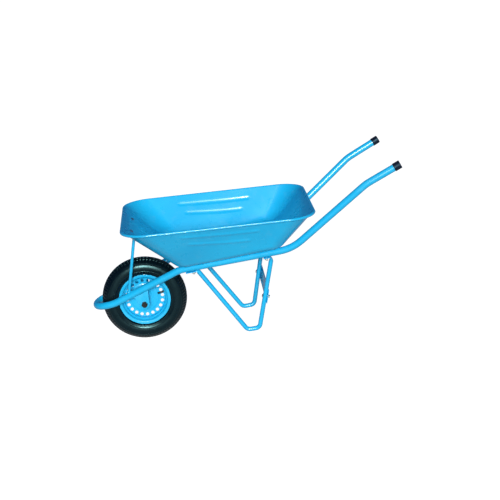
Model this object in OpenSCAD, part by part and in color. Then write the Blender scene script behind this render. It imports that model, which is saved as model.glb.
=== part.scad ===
// Builder's wheelbarrow: a single bent frame tube, a pressed steel tray with a rolled rim,
// two bent legs with a cross strap, two front stays and one pneumatic wheel on a fixed axle.
// Units are millimetres. +Z is up and the ground is z = 0. +X points from the wheel to the
// handles, so a person pushing it has the left side at -Y. Positions in the code are measured
// from the wheel's axle line at x = 0; recentre() then moves the whole barrow so that the
// origin is on the ground in the middle of its length.

/* [Frame tube] */
// Outside diameter of the frame tube
tube_d = 31.75; // [30:0.25:33]
// Wall thickness of the frame tube
tube_wall = 2; // [1.5:0.1:2.5]
// Height of the nose loop's centre line
nose_z = 198; // [194:1:204]
// Distance of the nose loop's centre line ahead of the axle
nose_reach = 217; // [215:1:225]
// Bend radius of the two nose corners
nose_bend_r = 72; // [68:1:74]
// Distance of the handle ends behind the axle
handle_reach = 1179; // [1150:1:1210]
// Height of the handle ends' centre line
handle_z = 659; // [645:1:675]
// Half of the spacing between the handle ends
handle_half_gap = 284; // [280:1:290]

/* [Handle caps] */
// Outside diameter of the plastic cap on each handle
cap_d = 36; // [35:0.5:38]
// Length of the cap over the tube
cap_grip = 28; // [24:1:34]
// Thickness of the cap's closed end
cap_end = 4; // [3:0.5:6]

/* [Tray] */
// Length of the rim between the middles of its front and rear beads
rim_l = 830; // [820:1:836]
// Width of the rim between the middles of its side beads
rim_w = 656; // [648:1:660]
// Plan radius of the rim's corners, to the middle of the bead
rim_corner_r = 114; // [104:1:124]
// Distance of the rim's front bead ahead of the axle
rim_front = 31; // [26:1:34]
// Height of the middle of the rim's front bead
rim_front_z = 562; // [556:1:566]
// Fall of the rim plane towards the handles, in degrees
rim_fall = 3.8; // [3:0.1:4.5]
// Radius of the bend between the floor and the walls
floor_bend_r = 45; // [40:1:50]
// Radius of the flat floor's four corners
floor_corner_r = 25; // [15:1:35]
// Half width of the flat floor at its front edge
floor_front_half = 163; // [159:1:167]
// Half width of the flat floor at its rear edge
floor_rear_half = 226; // [222:1:230]
// Sheet thickness
sheet_t = 1.5; // [1.2:0.1:1.8]
// Outside radius of the rolled rim bead
bead_r = 6; // [5.5:0.1:6.5]
// Radius of the wire inside the bead
wire_r = 4.2; // [3.5:0.1:4.2]

/* [Legs] */
// Outside diameter of the leg tube
leg_d = 20; // [19:0.5:21.5]
// Wall thickness of the leg tube
leg_wall = 1.8; // [1.5:0.1:2]
// Bend radius at each end of the foot
leg_bend_r = 24; // [22:1:26]
// Height of the cross strap's middle above the ground
brace_z = 157; // [145:1:168]
// Width of the cross strap
brace_w = 60; // [50:1:64]
// Thickness of the cross strap
brace_t = 3; // [2.5:0.5:4]

/* [Front stays] */
// Diameter of the round stays between the frame and the tray's front wall
stay_d = 13; // [12:0.5:14]
// Distance between the two bolts in the front wall
stay_bolt_gap = 212; // [205:1:216]
// Distance of those bolts below the rim, measured along the wall
stay_bolt_drop = 49; // [46:1:56]

/* [Wheel] */
// Outside diameter of the tyre
tyre_d = 380; // [376:1:382]
// Width of the tyre
tyre_w = 90; // [86:1:92]
// Thickness of the tyre's wall
tyre_wall = 8; // [7:0.5:9]
// Outside diameter of the rim flange
flange_d = 232; // [230:1:234]
// Width over the rim flanges
rim_wide = 68; // [66:1:70]
// Number of round holes in the wheel disc
disc_holes = 20; // [16:1:20]
// Diameter of those holes
disc_hole_d = 15; // [12:0.5:16]
// Radius of the circle that they lie on
disc_hole_ring = 80; // [78:0.5:81]
// Outside diameter of the hub tube
hub_d = 36; // [34:0.5:38]
// Length of the hub tube
hub_l = 100; // [90:1:104]

/* [Axle] */
// Diameter of the fixed axle
axle_d = 16; // [15:0.5:16]
// Radial running clearance between the axle and the bushes
run_gap = 0.06; // [0.03:0.01:0.1]
// Distance from the middle of the barrow to the middle of each axle bracket plate
bracket_y = 98; // [96:1:100]
// Thickness of the axle bracket plates
bracket_t = 4; // [3:0.5:5]

/* [Fasteners] */
// Diameter of the bolts in the tray, stays, legs and cross strap
bolt_d = 8; // [7.5:0.5:8]
// Radial clearance of a bolt in its hole
bolt_gap = 0.4; // [0.2:0.1:0.6]
// Size across the flats of their nuts
nut_af = 13; // [12.5:0.5:14]
// Thickness of their nuts
nut_t = 6.5; // [6:0.5:7]

/* [Hidden] */
$fn = 64;

blue = [0.16, 0.62, 0.87];
black = [0.06, 0.07, 0.08];
steel = [0.62, 0.64, 0.66];

tube_r = tube_d / 2;
leg_r = leg_d / 2;
axle_r = axle_d / 2;
bolt_r = bolt_d / 2;
axle_z = tyre_d / 2;

// The left half of the frame tube as corner points: middle of the nose's corner, end of the
// nose, start of the level run under the tray, end of that run, handle bend, handle end.
nose_half = 62;
nose_corner = [-nose_reach, -nose_half, nose_z];
nose_end = [-130, -78, nose_z + 12];
run_start = [183, -136, 328];
run_end = [678, -225, 360];
handle_bend = [1028, -handle_half_gap + 9, 598];
handle_end = [handle_reach, -handle_half_gap, handle_z];
half_path = [handle_end, handle_bend, run_end, run_start, nose_end, nose_corner];
half_bends = [0, 160, 200, 150, 150, nose_bend_r];
bend_draw = 0.05;
bend_lap = 0.5;

// The tray stands on the level run. The floor frame has its origin over the run's start, its
// x axis along the run's slope and its z axis square to the floor, with z = 0 at the tube's top.
run_rise = (run_end[2] - run_start[2]) / (run_end[0] - run_start[0]);
run_pitch = atan(run_rise);
run_splay = (run_end[1] - run_start[1]) * cos(run_pitch) / (run_end[0] - run_start[0]);
run_yaw = atan(run_splay);

// Distances of the flat floor's ends behind the run's start, in the floor frame
floor_front = 18;
floor_rear = 440;
floor_up = [-sin(run_pitch), 0, cos(run_pitch)];
floor_side_slope = (floor_rear_half - floor_front_half) / (floor_rear - floor_front);

// The rim's plane, and the curl of the sheet round the wire
rim_along = [cos(rim_fall), 0, -sin(rim_fall)];
rim_up = [sin(rim_fall), 0, cos(rim_fall)];
channel_r = bead_r - sheet_t;
curl = 300;
curl_steps = 10;
bend_steps = 5;
corner_steps = 10;
side_steps = [4, 2, 4, 2];

// Places of the bolts that hold the tray and the legs to the frame, in the floor frame
front_bolt_u = 56;
rear_bolt_u = 378;
tray_washer_r = 10.5;
leg_tab_t = 5;
leg_tab_w = 26;
front_tab_u = [22, 80];
rear_tab_u = [366, 424];

// Centre line of the left leg
leg_front_top = floor_point(front_tab_u[1] - 5, -tube_d - leg_tab_t / 2);
foot_front = [430, -163, leg_r];
foot_rear = [484, -166, leg_r];
leg_rear_top = floor_point(rear_tab_u[1] - 22, -tube_d - leg_tab_t / 2);
leg_path = [leg_front_top, foot_front, foot_rear, leg_rear_top];
leg_bends = [0, leg_bend_r, leg_bend_r, 0];
rear_lean = atan((leg_rear_top[0] - foot_rear[0]) / (leg_rear_top[2] - foot_rear[2]));
brace_share = (brace_z - foot_rear[2]) / (leg_rear_top[2] - foot_rear[2]);
brace_at = foot_rear + brace_share * (leg_rear_top - foot_rear);
brace_half = -brace_at[1] + 14;

// The front wall's outer face touches the wire's channel on one side and the floor bend on the
// other
bead_at = [-rim_front, rim_front_z];
bend_at = [for (k = [0, 2]) from_floor([floor_front, 0, floor_bend_r])[k]];
wall_slope = atan2(bend_at[1] - bead_at[1], bend_at[0] - bead_at[0])
    - asin((floor_bend_r + channel_r) / norm(bend_at - bead_at));
wall_dir = [cos(wall_slope), 0, sin(wall_slope)];
wall_out = [sin(wall_slope), 0, -cos(wall_slope)];
stay_bolt_at = [-rim_front, -stay_bolt_gap / 2, rim_front_z]
    + stay_bolt_drop * wall_dir - channel_r * wall_out;
stay_tab_t = 4;
stay_tab = [-15, 21];
stay_foot_x = -63;
stay_foot = along_nose(stay_foot_x);

// Wheel rim: sheet thickness, radius of the bead seats and of the well between them
rim_t = 2;
seat_r = 103;
well_r = 94.5;
well_half = 12;
hub_wall = 3;

// Valve: angle from +X, radius of its root and distance to the left of the wheel's middle
valve_turn = 9;
valve_root_r = 109;
valve_side = 6;
valve_stem_l = 38;
valve_thread_l = 6;

// Radius from the axle to the middle of the tyre's round casing
casing_at = tyre_d / 2 - tyre_w / 2;

// Lengths along the axle, outwards from the middle
bush_flange_t = 3;
bush_face = hub_l / 2 + bush_flange_t;
spacer_start = bush_face + 0.5;
washer_t = 2.5;
axle_nut_t = 13;
axle_half = bracket_y + bracket_t / 2 + washer_t + axle_nut_t + 4;

// The caps' direction and their farthest reach, for moving the barrow's middle to the origin
cap_r = cap_d / 2;
cap_edge_r = 3;
cap_out = unit(handle_end - handle_bend);
cap_reach = handle_end[0] + (cap_end - cap_edge_r) * cap_out[0]
    + (cap_r - cap_edge_r) * norm([cap_out[1], cap_out[2]]) + cap_edge_r;
middle_x = (cap_reach - nose_reach - tube_r) / 2;

function unit(v) = v / norm(v);
function mirrored(p) = [p[0], -p[1], p[2]];

// Angle turned at corner i of path p, and the straight length that its bend takes up
function turn_at(p, i) = acos(unit(p[i] - p[i - 1]) * unit(p[i + 1] - p[i]));
function setback(p, r, i) = (i == 0 || i == len(p) - 1) ? 0 : r[i] * tan(turn_at(p, i) / 2);

// Path p made longer by e at both ends
function extended(p, e) = [for (i = [0 : len(p) - 1])
    i == 0 ? p[0] + e * unit(p[0] - p[1]) :
    i == len(p) - 1 ? p[i] + e * unit(p[i] - p[i - 1]) : p[i]];

// Point on the left tube's centre line between the nose and the level run, at a given x
function along_nose(x) = nose_end
    + (run_start - nose_end) * (x - nose_end[0]) / (run_start[0] - nose_end[0]);

// Point over the left tube at u along the floor frame's x axis and w above the floor plane
function floor_point(u, w) = from_floor([u, run_start[1] + u * run_splay, w]);

// A point of the floor frame in the barrow's frame
function from_floor(q) = [
    run_start[0] + q[0] * cos(run_pitch) - q[2] * sin(run_pitch),
    q[1],
    run_start[2] + tube_r / cos(run_pitch) + q[0] * sin(run_pitch) + q[2] * cos(run_pitch)];

// A direction at angle a in the floor's plane and in the rim's plane
function floor_dir(a) = [cos(a) * cos(run_pitch), sin(a), cos(a) * sin(run_pitch)];
function rim_dir(a) = cos(a) * rim_along + [0, sin(a), 0];

// Centre of the rounding of the flat floor's corner: fx and fy are 1 or -1 for rear and right
function floor_corner(fx, fy) = let (
    u = fx > 0 ? floor_rear - floor_corner_r : floor_front + floor_corner_r,
    line = floor_front_half + (u - floor_front) * floor_side_slope)
    [u, fy * (line - floor_corner_r * norm([1, floor_side_slope])), floor_bend_r];

// Centre of the rounding of the bead's corner
function rim_corner(fx, fy) = [-rim_front, 0, rim_front_z]
    + (fx > 0 ? rim_l - rim_corner_r : rim_corner_r) * rim_along
    + [0, fy * (rim_w / 2 - rim_corner_r), 0];

// One section of the tray at share s of the way round corner c: the middle of the floor bend,
// the middle of the bead, and the directions square to the wall's plan at each
function tray_section(c, s) = let (
    fx = c == 0 || c == 3 ? 1 : -1,
    fy = c < 2 ? 1 : -1,
    splay = atan(floor_side_slope),
    turns = [0, 90 + splay, 180, 270 - splay, 360],
    floor_a = turns[c] + s * (turns[c + 1] - turns[c]),
    rim_a = 90 * (c + s))
    [from_floor(floor_corner(fx, fy)) + floor_corner_r * floor_dir(floor_a),
        rim_corner(fx, fy) + rim_corner_r * rim_dir(rim_a),
        floor_dir(floor_a), rim_dir(rim_a)];

// All sections in order round the tray: four corners, with the sides between them
tray_sections = [for (c = [0 : 3]) let (
    from = tray_section(c, 1), to = tray_section((c + 1) % 4, 0), n = side_steps[c])
    each concat(
        [for (k = [0 : corner_steps]) tray_section(c, k / corner_steps)],
        [for (k = [1 : n - 1]) [from[0] + (to[0] - from[0]) * k / n,
            from[1] + (to[1] - from[1]) * k / n, from[2], from[3]]])];

function arc_point(centre, across, up, r, a) = centre + r * (cos(a) * across + sin(a) * up);

// The sheet's outline in one section: the outer face from the floor up and round the wire's
// channel, then back over the bead and down the inner face
function sheet_outline(q) = let (
    e = q[1] - q[0],
    a = e * q[2],
    b = e * floor_up,
    rise = atan2(b, a) + asin((floor_bend_r + channel_r) / norm([a, b])),
    up_wall = cos(rise) * q[2] + sin(rise) * floor_up,
    start = atan2(up_wall * rim_up, up_wall * q[3]) + 90)
    concat(
        [for (j = [0 : bend_steps])
            arc_point(q[0], q[2], floor_up, floor_bend_r, rise * j / bend_steps - 90)],
        [for (j = [0 : curl_steps])
            arc_point(q[1], q[3], rim_up, channel_r, start - curl * j / curl_steps)],
        [for (j = [curl_steps : -1 : 0])
            arc_point(q[1], q[3], rim_up, bead_r, start - curl * j / curl_steps)],
        [for (j = [bend_steps : -1 : 0])
            arc_point(q[0], q[2], floor_up, floor_bend_r - sheet_t,
                rise * j / bend_steps - 90)]);

module recentre() {
    translate([-middle_x, 0, 0]) children();
}

// Children in a frame at point o whose x and z axes are the given square unit vectors
module in_frame(o, x, z) {
    y = cross(z, x);
    multmatrix([
        [x[0], y[0], z[0], o[0]],
        [x[1], y[1], z[1], o[1]],
        [x[2], y[2], z[2], o[2]],
        [0, 0, 0, 1]]) children();
}

// Children in a frame at point o whose z axis is the unit vector z
module pointing(o, z) {
    x = unit(cross(abs(z[1]) < 0.9 ? [0, 1, 0] : [1, 0, 0], z));
    in_frame(o, x, z) children();
}

// Round bar of radius r from a to b
module bar(a, b, r) {
    pointing(a, unit(b - a)) cylinder(h = norm(b - a), r = r);
}

// Round bar of radius r along path p, with an arc of radius bends[i] at corner i. Bending
// draws the tube in by bend_draw, and each straight laps over its bends by bend_lap.
module bent_bar(p, bends, r) {
    last = len(p) - 1;
    for (i = [0 : last - 1]) {
        d = unit(p[i + 1] - p[i]);
        start = i == 0 ? 0 : setback(p, bends, i) - bend_lap;
        end = i + 1 == last ? 0 : setback(p, bends, i + 1) - bend_lap;
        bar(p[i] + d * start, p[i + 1] - d * end, r);
    }
    for (i = [1 : last - 1]) {
        along = unit(p[i] - p[i - 1]);
        normal = unit(cross(along, unit(p[i + 1] - p[i])));
        inward = cross(normal, along);
        centre = p[i] - along * setback(p, bends, i) + inward * bends[i];
        in_frame(centre, -inward, normal) rotate_extrude(angle = turn_at(p, i))
            translate([bends[i], 0]) circle(r = r - bend_draw);
    }
}

// Hollow tube along path p
module bent_tube(p, bends, r, wall) {
    difference() {
        bent_bar(p, bends, r);
        bent_bar(extended(p, 1), bends, r - wall);
    }
}

// Children drawn for the left side (s = 0) or mirrored to the right side (s = 1)
module on_side(s) {
    mirror([0, s, 0]) children();
}

module both_sides() {
    for (s = [0, 1]) on_side(s) children();
}

module in_floor_frame() {
    translate(from_floor([0, 0, 0])) rotate([0, -run_pitch, 0]) children();
}

// Children at each of the two left bolt places, with z square to the floor
module at_tray_bolts() {
    for (u = [front_bolt_u, rear_bolt_u])
        in_floor_frame() translate([u, run_start[1] + u * run_splay, 0]) children();
}

// Children at the left front wall bolt, with z along the wall's outward normal
module at_stay_bolt() {
    in_frame(stay_bolt_at, wall_dir, wall_out) children();
}

// Children at the left end of the cross strap, with z towards the handles
module at_brace_bolt() {
    translate(brace_at) rotate([0, 90 + rear_lean, 0]) children();
}

// Children turned so that z runs outwards along the axle on the left side
module along_axle() {
    translate([0, 0, axle_z]) rotate([90, 0, 0]) children();
}

// Ring about the z axis from z0 to z1
module ring(r_out, r_in, z0, z1) {
    translate([0, 0, z0]) difference() {
        cylinder(h = z1 - z0, r = r_out);
        translate([0, 0, -1]) cylinder(h = z1 - z0 + 2, r = r_in);
    }
}

// Hexagon nut standing on z = 0
module nut(af, bore_r, h) {
    difference() {
        intersection() {
            cylinder(h = h, r = af / sqrt(3), $fn = 6);
            translate([0, 0, h / 2]) sphere(r = norm([af / 2 * 1.06, h / 2]));
        }
        translate([0, 0, -1]) cylinder(h = h + 2, r = bore_r);
    }
}

// Cup-head bolt: the head stands above z = 0 and the shank hangs below it
module cup_bolt(shank_l) {
    head_r = 9.5;
    head_h = 4.5;
    dome_r = (head_r * head_r + head_h * head_h) / (2 * head_h);
    intersection() {
        translate([0, 0, head_h - dome_r]) sphere(r = dome_r);
        cylinder(h = head_h, r = head_r + 1);
    }
    translate([0, 0, -shank_l]) cylinder(h = shank_l + 1, r = bolt_r);
}

module frame_tube() {
    left = half_path;
    n = len(left);
    path = concat(left, [for (i = [n - 1 : -1 : 0]) mirrored(left[i])]);
    bends = concat(half_bends, [for (i = [n - 1 : -1 : 0]) half_bends[i]]);
    color(blue) difference() {
        bent_tube(path, bends, tube_r, tube_wall);
        both_sides() at_tray_bolts()
            translate([0, 0, -tube_d - 5]) cylinder(h = tube_d + 10, r = bolt_r + bolt_gap);
    }
}

// Push-on cap over a handle end, with a rounded closed end
module handle_cap(s) {
    color(black) on_side(s) pointing(handle_end, cap_out) rotate_extrude() difference() {
        union() {
            translate([0, -cap_grip]) square([cap_r, cap_grip + cap_end - cap_edge_r]);
            square([cap_r - cap_edge_r, cap_end]);
            translate([cap_r - cap_edge_r, cap_end - cap_edge_r]) circle(r = cap_edge_r);
        }
        translate([0, -cap_grip - 1]) square([tube_r + 0.02, cap_grip + 1]);
    }
}

// Plate that hangs from the tube and holds the axle's end
module axle_bracket(s) {
    lug_r = 22;
    top_front = along_nose(-44);
    top_rear = along_nose(26);
    color(blue) on_side(s) difference() {
        translate([0, -bracket_y + bracket_t / 2, 0]) rotate([90, 0, 0]) {
            translate([0, axle_z]) cylinder(h = bracket_t, r = lug_r);
            linear_extrude(bracket_t)
                polygon([[top_front[0], top_front[2]], [top_rear[0], top_rear[2]],
                    [lug_r * cos(8), axle_z + lug_r * sin(8)], [0, axle_z],
                    [-lug_r * cos(40), axle_z - lug_r * sin(40)]]);
        }
        bar(nose_end, run_start, tube_r + 0.02);
        along_axle() cylinder(h = bracket_y + 20, r = axle_r + 0.3);
    }
}

// Two triangles between neighbouring places j and k of neighbouring sections i and n, where
// each section has w points. The second half of a section is split the other way, so that the
// triangles of a sheet's two faces lie side by side where the sheet is twisted.
function quad(i, n, j, k, w) = j < w / 2 ?
    [[i * w + j, i * w + k, n * w + k], [i * w + j, n * w + k, n * w + j]] :
    [[i * w + j, i * w + k, n * w + j], [i * w + k, n * w + k, n * w + j]];

// Pressed sheet tray, curled over a wire round its rim
module tray() {
    count = len(tray_sections);
    outlines = [for (q = tray_sections) sheet_outline(q)];
    w = len(outlines[0]);
    points = concat([for (o = outlines) each o],
        [from_floor([(floor_front + floor_rear) / 2, 0, 0]),
            from_floor([(floor_front + floor_rear) / 2, 0, sheet_t])]);
    faces = concat(
        [for (i = [0 : count - 1], j = [0 : w - 2]) each quad(i, (i + 1) % count, j, j + 1, w)],
        [for (i = [0 : count - 1]) [count * w, i * w, ((i + 1) % count) * w]],
        [for (i = [0 : count - 1])
            [count * w + 1, ((i + 1) % count) * w + w - 1, i * w + w - 1]]);
    color(blue) difference() {
        polyhedron(points, faces);
        both_sides() {
            at_tray_bolts() translate([0, 0, -5]) cylinder(h = 12, r = bolt_r + bolt_gap);
            at_stay_bolt() translate([0, 0, -8]) cylinder(h = 12, r = bolt_r + bolt_gap);
        }
    }
}

// Wire inside the curl, all the way round the rim
module rim_wire() {
    w = 12;
    count = len(tray_sections);
    points = [for (q = tray_sections, j = [0 : w - 1])
        arc_point(q[1], q[3], rim_up, wire_r, 360 * j / w)];
    faces = [for (i = [0 : count - 1], j = [0 : w - 1])
        each quad(i, (i + 1) % count, j, (j + 1) % w, w)];
    color(steel) polyhedron(points, faces);
}

// Round stay with a flat bolted tab on the tray's front wall, standing on the frame tube
module tray_stay(s) {
    bar_top = stay_bolt_at + (stay_tab[1] - 4) * wall_dir + wall_out * stay_tab_t / 2;
    color(blue) on_side(s) difference() {
        union() {
            at_stay_bolt() translate([stay_tab[0], -12, 0.05])
                cube([stay_tab[1] - stay_tab[0], 24, stay_tab_t]);
            bar(bar_top, stay_foot, stay_d / 2);
        }
        at_stay_bolt() translate([-40, -40, -40.05]) cube([80, 80, 40.1]);
        at_stay_bolt() translate([0, 0, -1]) cylinder(h = 30, r = bolt_r + bolt_gap);
        bar(nose_end, run_start, tube_r + 0.02);
    }
}

// Bolts through the front wall with their heads inside the tray
module stay_bolts() {
    color(steel) both_sides() at_stay_bolt()
        translate([0, 0, -sheet_t - 0.1]) rotate([180, 0, 0]) cup_bolt(sheet_t + 16);
}

module stay_washers() {
    color(steel) both_sides() at_stay_bolt()
        ring(9, bolt_r + 0.3, stay_tab_t + 0.1, stay_tab_t + 1.7);
}

module stay_nuts() {
    color(steel) both_sides() at_stay_bolt()
        translate([0, 0, stay_tab_t + 1.75]) nut(nut_af, bolt_r + 0.05, nut_t);
}

// Leg tube bent to a V with a short flat foot and flattened ends under the frame tube
module leg(s) {
    color(blue) on_side(s) difference() {
        union() {
            bent_bar(leg_path, leg_bends, leg_r);
            for (tab = [front_tab_u, rear_tab_u]) leg_tab(tab, leg_tab_t);
        }
        bent_bar(extended(leg_path, -leg_d), leg_bends, leg_r - leg_wall);
        in_floor_frame() translate([-100, -500, -tube_d - 0.02]) cube([700, 500, 60]);
        at_tray_bolts() translate([0, 0, -tube_d - 20]) cylinder(h = 30, r = bolt_r + bolt_gap);
        at_brace_bolt() translate([0, 0, -30]) cylinder(h = 60, r = bolt_r + bolt_gap);
    }
}

// Flattened end of a leg along the underside of the frame tube, between two places on it
module leg_tab(u, t) {
    in_floor_frame() translate([u[0], run_start[1] + u[0] * run_splay, -tube_d - t])
        rotate([0, 0, run_yaw]) translate([0, -leg_tab_w / 2, 0])
            cube([(u[1] - u[0]) / cos(run_yaw), leg_tab_w, t]);
}

// Flat strap across the handle side of both legs
module leg_brace() {
    color(blue) difference() {
        translate([brace_at[0], 0, brace_at[2]]) rotate([0, 90 + rear_lean, 0])
            translate([-brace_w / 2, -brace_half, leg_r + 0.02])
                cube([brace_w, 2 * brace_half, brace_t]);
        both_sides() at_brace_bolt() cylinder(h = 30, r = bolt_r + bolt_gap);
    }
}

// Bolts through the legs and the strap, with their heads on the wheel's side
module brace_bolts() {
    color(steel) both_sides() at_brace_bolt() translate([0, 0, -leg_r - 0.05])
        rotate([180, 0, 0]) cup_bolt(2 * leg_r + brace_t + nut_t + 3);
}

module brace_nuts() {
    color(steel) both_sides() at_brace_bolt()
        translate([0, 0, leg_r + brace_t + 0.05]) nut(nut_af, bolt_r + 0.05, nut_t);
}

// Bolts through the tray floor, the frame tube and the legs' flattened ends
module tray_bolts() {
    color(steel) both_sides() at_tray_bolts()
        translate([0, 0, sheet_t + 1.7]) cup_bolt(tube_d + leg_tab_t + sheet_t + nut_t + 6);
}

module tray_washers() {
    color(steel) both_sides() at_tray_bolts()
        ring(tray_washer_r, bolt_r + 0.3, sheet_t + 0.05, sheet_t + 1.65);
}

module tray_nuts() {
    color(steel) both_sides() at_tray_bolts()
        translate([0, 0, -tube_d - leg_tab_t - nut_t - 0.05]) nut(nut_af, bolt_r + 0.05, nut_t);
}

module axle() {
    color(steel) along_axle() translate([0, 0, -axle_half])
        cylinder(h = 2 * axle_half, r = axle_r);
}

module axle_washers() {
    start = bracket_y + bracket_t / 2 + 0.02;
    color(steel) both_sides() along_axle() ring(15, axle_r + 0.2, start, start + washer_t - 0.04);
}

module axle_nuts() {
    color(steel) both_sides() along_axle()
        translate([0, 0, bracket_y + bracket_t / 2 + washer_t])
            nut(24, axle_r + 0.05, axle_nut_t);
}

// Sleeves that hold the wheel in the middle of the axle
module axle_spacers() {
    color(steel) both_sides() along_axle()
        ring(12.5, axle_r + 0.2, spacer_start, bracket_y - bracket_t / 2 - 0.02);
}

module wheel_hub() {
    color(blue) along_axle() ring(hub_d / 2, hub_d / 2 - hub_wall, -hub_l / 2, hub_l / 2);
}

// Flanged plastic bush in the end of the hub, running on the axle
module hub_bush(s) {
    body_l = 30;
    color(black) on_side(s) along_axle() {
        ring(hub_d / 2 - hub_wall, axle_r + run_gap, hub_l / 2 - body_l, hub_l / 2 + 0.01);
        ring(hub_d / 2 - 1, axle_r + run_gap, hub_l / 2, bush_face);
    }
}

// Flat pressed disc with a ring of holes, dished to a flange that is welded in the rim
module wheel_disc() {
    disc_t = 2.5;
    flange_w = 12;
    edge_r = well_r - rim_t;
    color(blue) along_axle() difference() {
        rotate_extrude() union() {
            translate([hub_d / 2, -disc_t / 2]) square([edge_r - hub_d / 2, disc_t]);
            translate([edge_r - disc_t, disc_t / 2 - flange_w]) square([disc_t, flange_w]);
        }
        for (i = [0 : disc_holes - 1])
            rotate([0, 0, (i + 0.9) * 360 / disc_holes]) translate([disc_hole_ring, 0, -10])
                cylinder(h = 20, r = disc_hole_d / 2);
    }
}

// Rolled rim: two flanges, two bead seats and a shallow well, all one sheet
module wheel_rim() {
    t = rim_t;
    flange_r = flange_d / 2;
    half = rim_wide / 2;
    outer = [[flange_r, half], [flange_r, half - t], [seat_r + 3, half - t - 2],
        [seat_r, half - t - 5], [seat_r - 1, well_half + 5], [well_r, well_half]];
    inner = [[flange_r - t, half], [seat_r + 1, half - 1], [seat_r - t - 1, half - t - 4],
        [seat_r - t - 1.5, well_half + 6.5], [well_r - t, well_half + 1.5]];
    near = concat([outer[0]], inner);
    color(blue) along_axle() difference() {
        rotate_extrude() polygon(concat(
            [for (i = [1 : len(outer) - 1]) outer[i]],
            [for (i = [len(outer) - 1 : -1 : 1]) [outer[i][0], -outer[i][1]]],
            [for (p = near) [p[0], -p[1]]],
            [for (i = [len(near) - 1 : -1 : 0]) near[i]]));
        at_valve() translate([0, 0, -10]) cylinder(h = 60, r = 4.6);
    }
}

// Round casing section of the tyre, kept outside the rim's bead seats
module casing_section(r) {
    intersection() {
        translate([casing_at, 0]) circle(r = r);
        translate([seat_r + 0.05, -tyre_w]) square([tyre_w, 2 * tyre_w]);
    }
}

module tyre() {
    bead_out = rim_wide / 2 - 7.2;
    bead_in = 18;
    color(black) along_axle() rotate_extrude($fn = 128) difference() {
        union() {
            casing_section(tyre_w / 2);
            translate([seat_r + 0.05, -bead_out]) square([14, 2 * bead_out]);
        }
        casing_section(tyre_w / 2 - tyre_wall);
        translate([seat_r - 1, -bead_in]) square([20, 2 * bead_in]);
        for (m = [0, 1]) mirror([0, m]) translate([seat_r, rim_wide / 2 - 5])
            square([flange_d / 2 - seat_r + 0.3, 20]);
    }
}

module inner_tube() {
    tube_out = tyre_w / 2 - tyre_wall - 0.3;
    color(black) along_axle() rotate_extrude($fn = 96) translate([casing_at, 0]) difference() {
        circle(r = tube_out);
        circle(r = tube_out - 2);
    }
}

// Children in the valve's frame in the wheel's plane: z points from the inner tube to the hub
module at_valve() {
    rotate([0, 0, valve_turn]) translate([valve_root_r, 0, valve_side])
        rotate([0, -90, 0]) children();
}

module valve_stem() {
    color(black) along_axle() at_valve() {
        ring(4.2, 1.6, 0, valve_stem_l);
        ring(3, 1.6, valve_stem_l - 0.1, valve_stem_l + valve_thread_l);
    }
}

module valve_cap() {
    color(black) along_axle() at_valve() difference() {
        translate([0, 0, valve_stem_l + 0.2]) cylinder(h = valve_thread_l + 4, r = 4.6);
        translate([0, 0, valve_stem_l - 1]) cylinder(h = valve_thread_l + 2.2, r = 3.05);
    }
}

recentre() {
    frame_tube();
    handle_cap(0);  // handle_cap_left
    handle_cap(1);  // handle_cap_right
    axle_bracket(0);  // axle_bracket_left
    axle_bracket(1);  // axle_bracket_right
    tray();
    rim_wire();
    tray_stay(0);  // tray_stay_left
    tray_stay(1);  // tray_stay_right
    stay_bolts();
    stay_washers();
    stay_nuts();
    leg(0);  // leg_left
    leg(1);  // leg_right
    leg_brace();
    brace_bolts();
    brace_nuts();
    tray_bolts();
    tray_washers();
    tray_nuts();
    axle();
    axle_nuts();
    axle_washers();
    axle_spacers();
    wheel_hub();
    hub_bush(0);  // hub_bush_left
    hub_bush(1);  // hub_bush_right
    wheel_disc();
    wheel_rim();
    tyre();
    inner_tube();
    valve_stem();
    valve_cap();
}
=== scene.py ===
"""Looks of the wheelbarrow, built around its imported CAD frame.

Lengths in the shape code are millimetres measured from the axle's x, with +Z up from the
ground, as in the CAD source; placed() turns them into the row frame in metres.
"""

import math

import bmesh
import bpy
import numpy as np
from mathutils import Matrix, Vector, noise


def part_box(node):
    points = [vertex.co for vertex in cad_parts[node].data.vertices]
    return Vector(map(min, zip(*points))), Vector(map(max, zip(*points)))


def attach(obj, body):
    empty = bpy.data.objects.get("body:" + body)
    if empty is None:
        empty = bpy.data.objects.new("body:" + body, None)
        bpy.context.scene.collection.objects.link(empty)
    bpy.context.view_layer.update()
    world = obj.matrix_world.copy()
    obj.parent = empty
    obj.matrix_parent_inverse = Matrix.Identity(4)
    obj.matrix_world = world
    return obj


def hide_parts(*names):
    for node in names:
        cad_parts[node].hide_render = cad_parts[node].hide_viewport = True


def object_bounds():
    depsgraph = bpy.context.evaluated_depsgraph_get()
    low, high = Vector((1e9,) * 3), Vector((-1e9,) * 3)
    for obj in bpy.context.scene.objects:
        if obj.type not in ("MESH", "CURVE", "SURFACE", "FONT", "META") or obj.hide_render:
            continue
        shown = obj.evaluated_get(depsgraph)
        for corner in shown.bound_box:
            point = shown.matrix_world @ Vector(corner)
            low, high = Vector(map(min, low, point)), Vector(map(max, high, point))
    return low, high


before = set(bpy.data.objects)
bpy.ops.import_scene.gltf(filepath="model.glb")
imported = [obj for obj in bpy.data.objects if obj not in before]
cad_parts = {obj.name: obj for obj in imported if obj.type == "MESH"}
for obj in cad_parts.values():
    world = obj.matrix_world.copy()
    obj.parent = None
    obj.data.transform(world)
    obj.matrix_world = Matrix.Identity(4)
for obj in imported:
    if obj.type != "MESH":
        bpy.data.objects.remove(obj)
cad_lo, cad_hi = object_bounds()
axle_lo, axle_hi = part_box("axle")
AXLE_X = (axle_lo[0] + axle_hi[0]) / 2 * 1000
AXLE_Z = (axle_lo[2] + axle_hi[2]) / 2 * 1000


def vec(*p):
    return np.array(p, float)


def unit(v):
    return v / np.linalg.norm(v)


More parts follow.
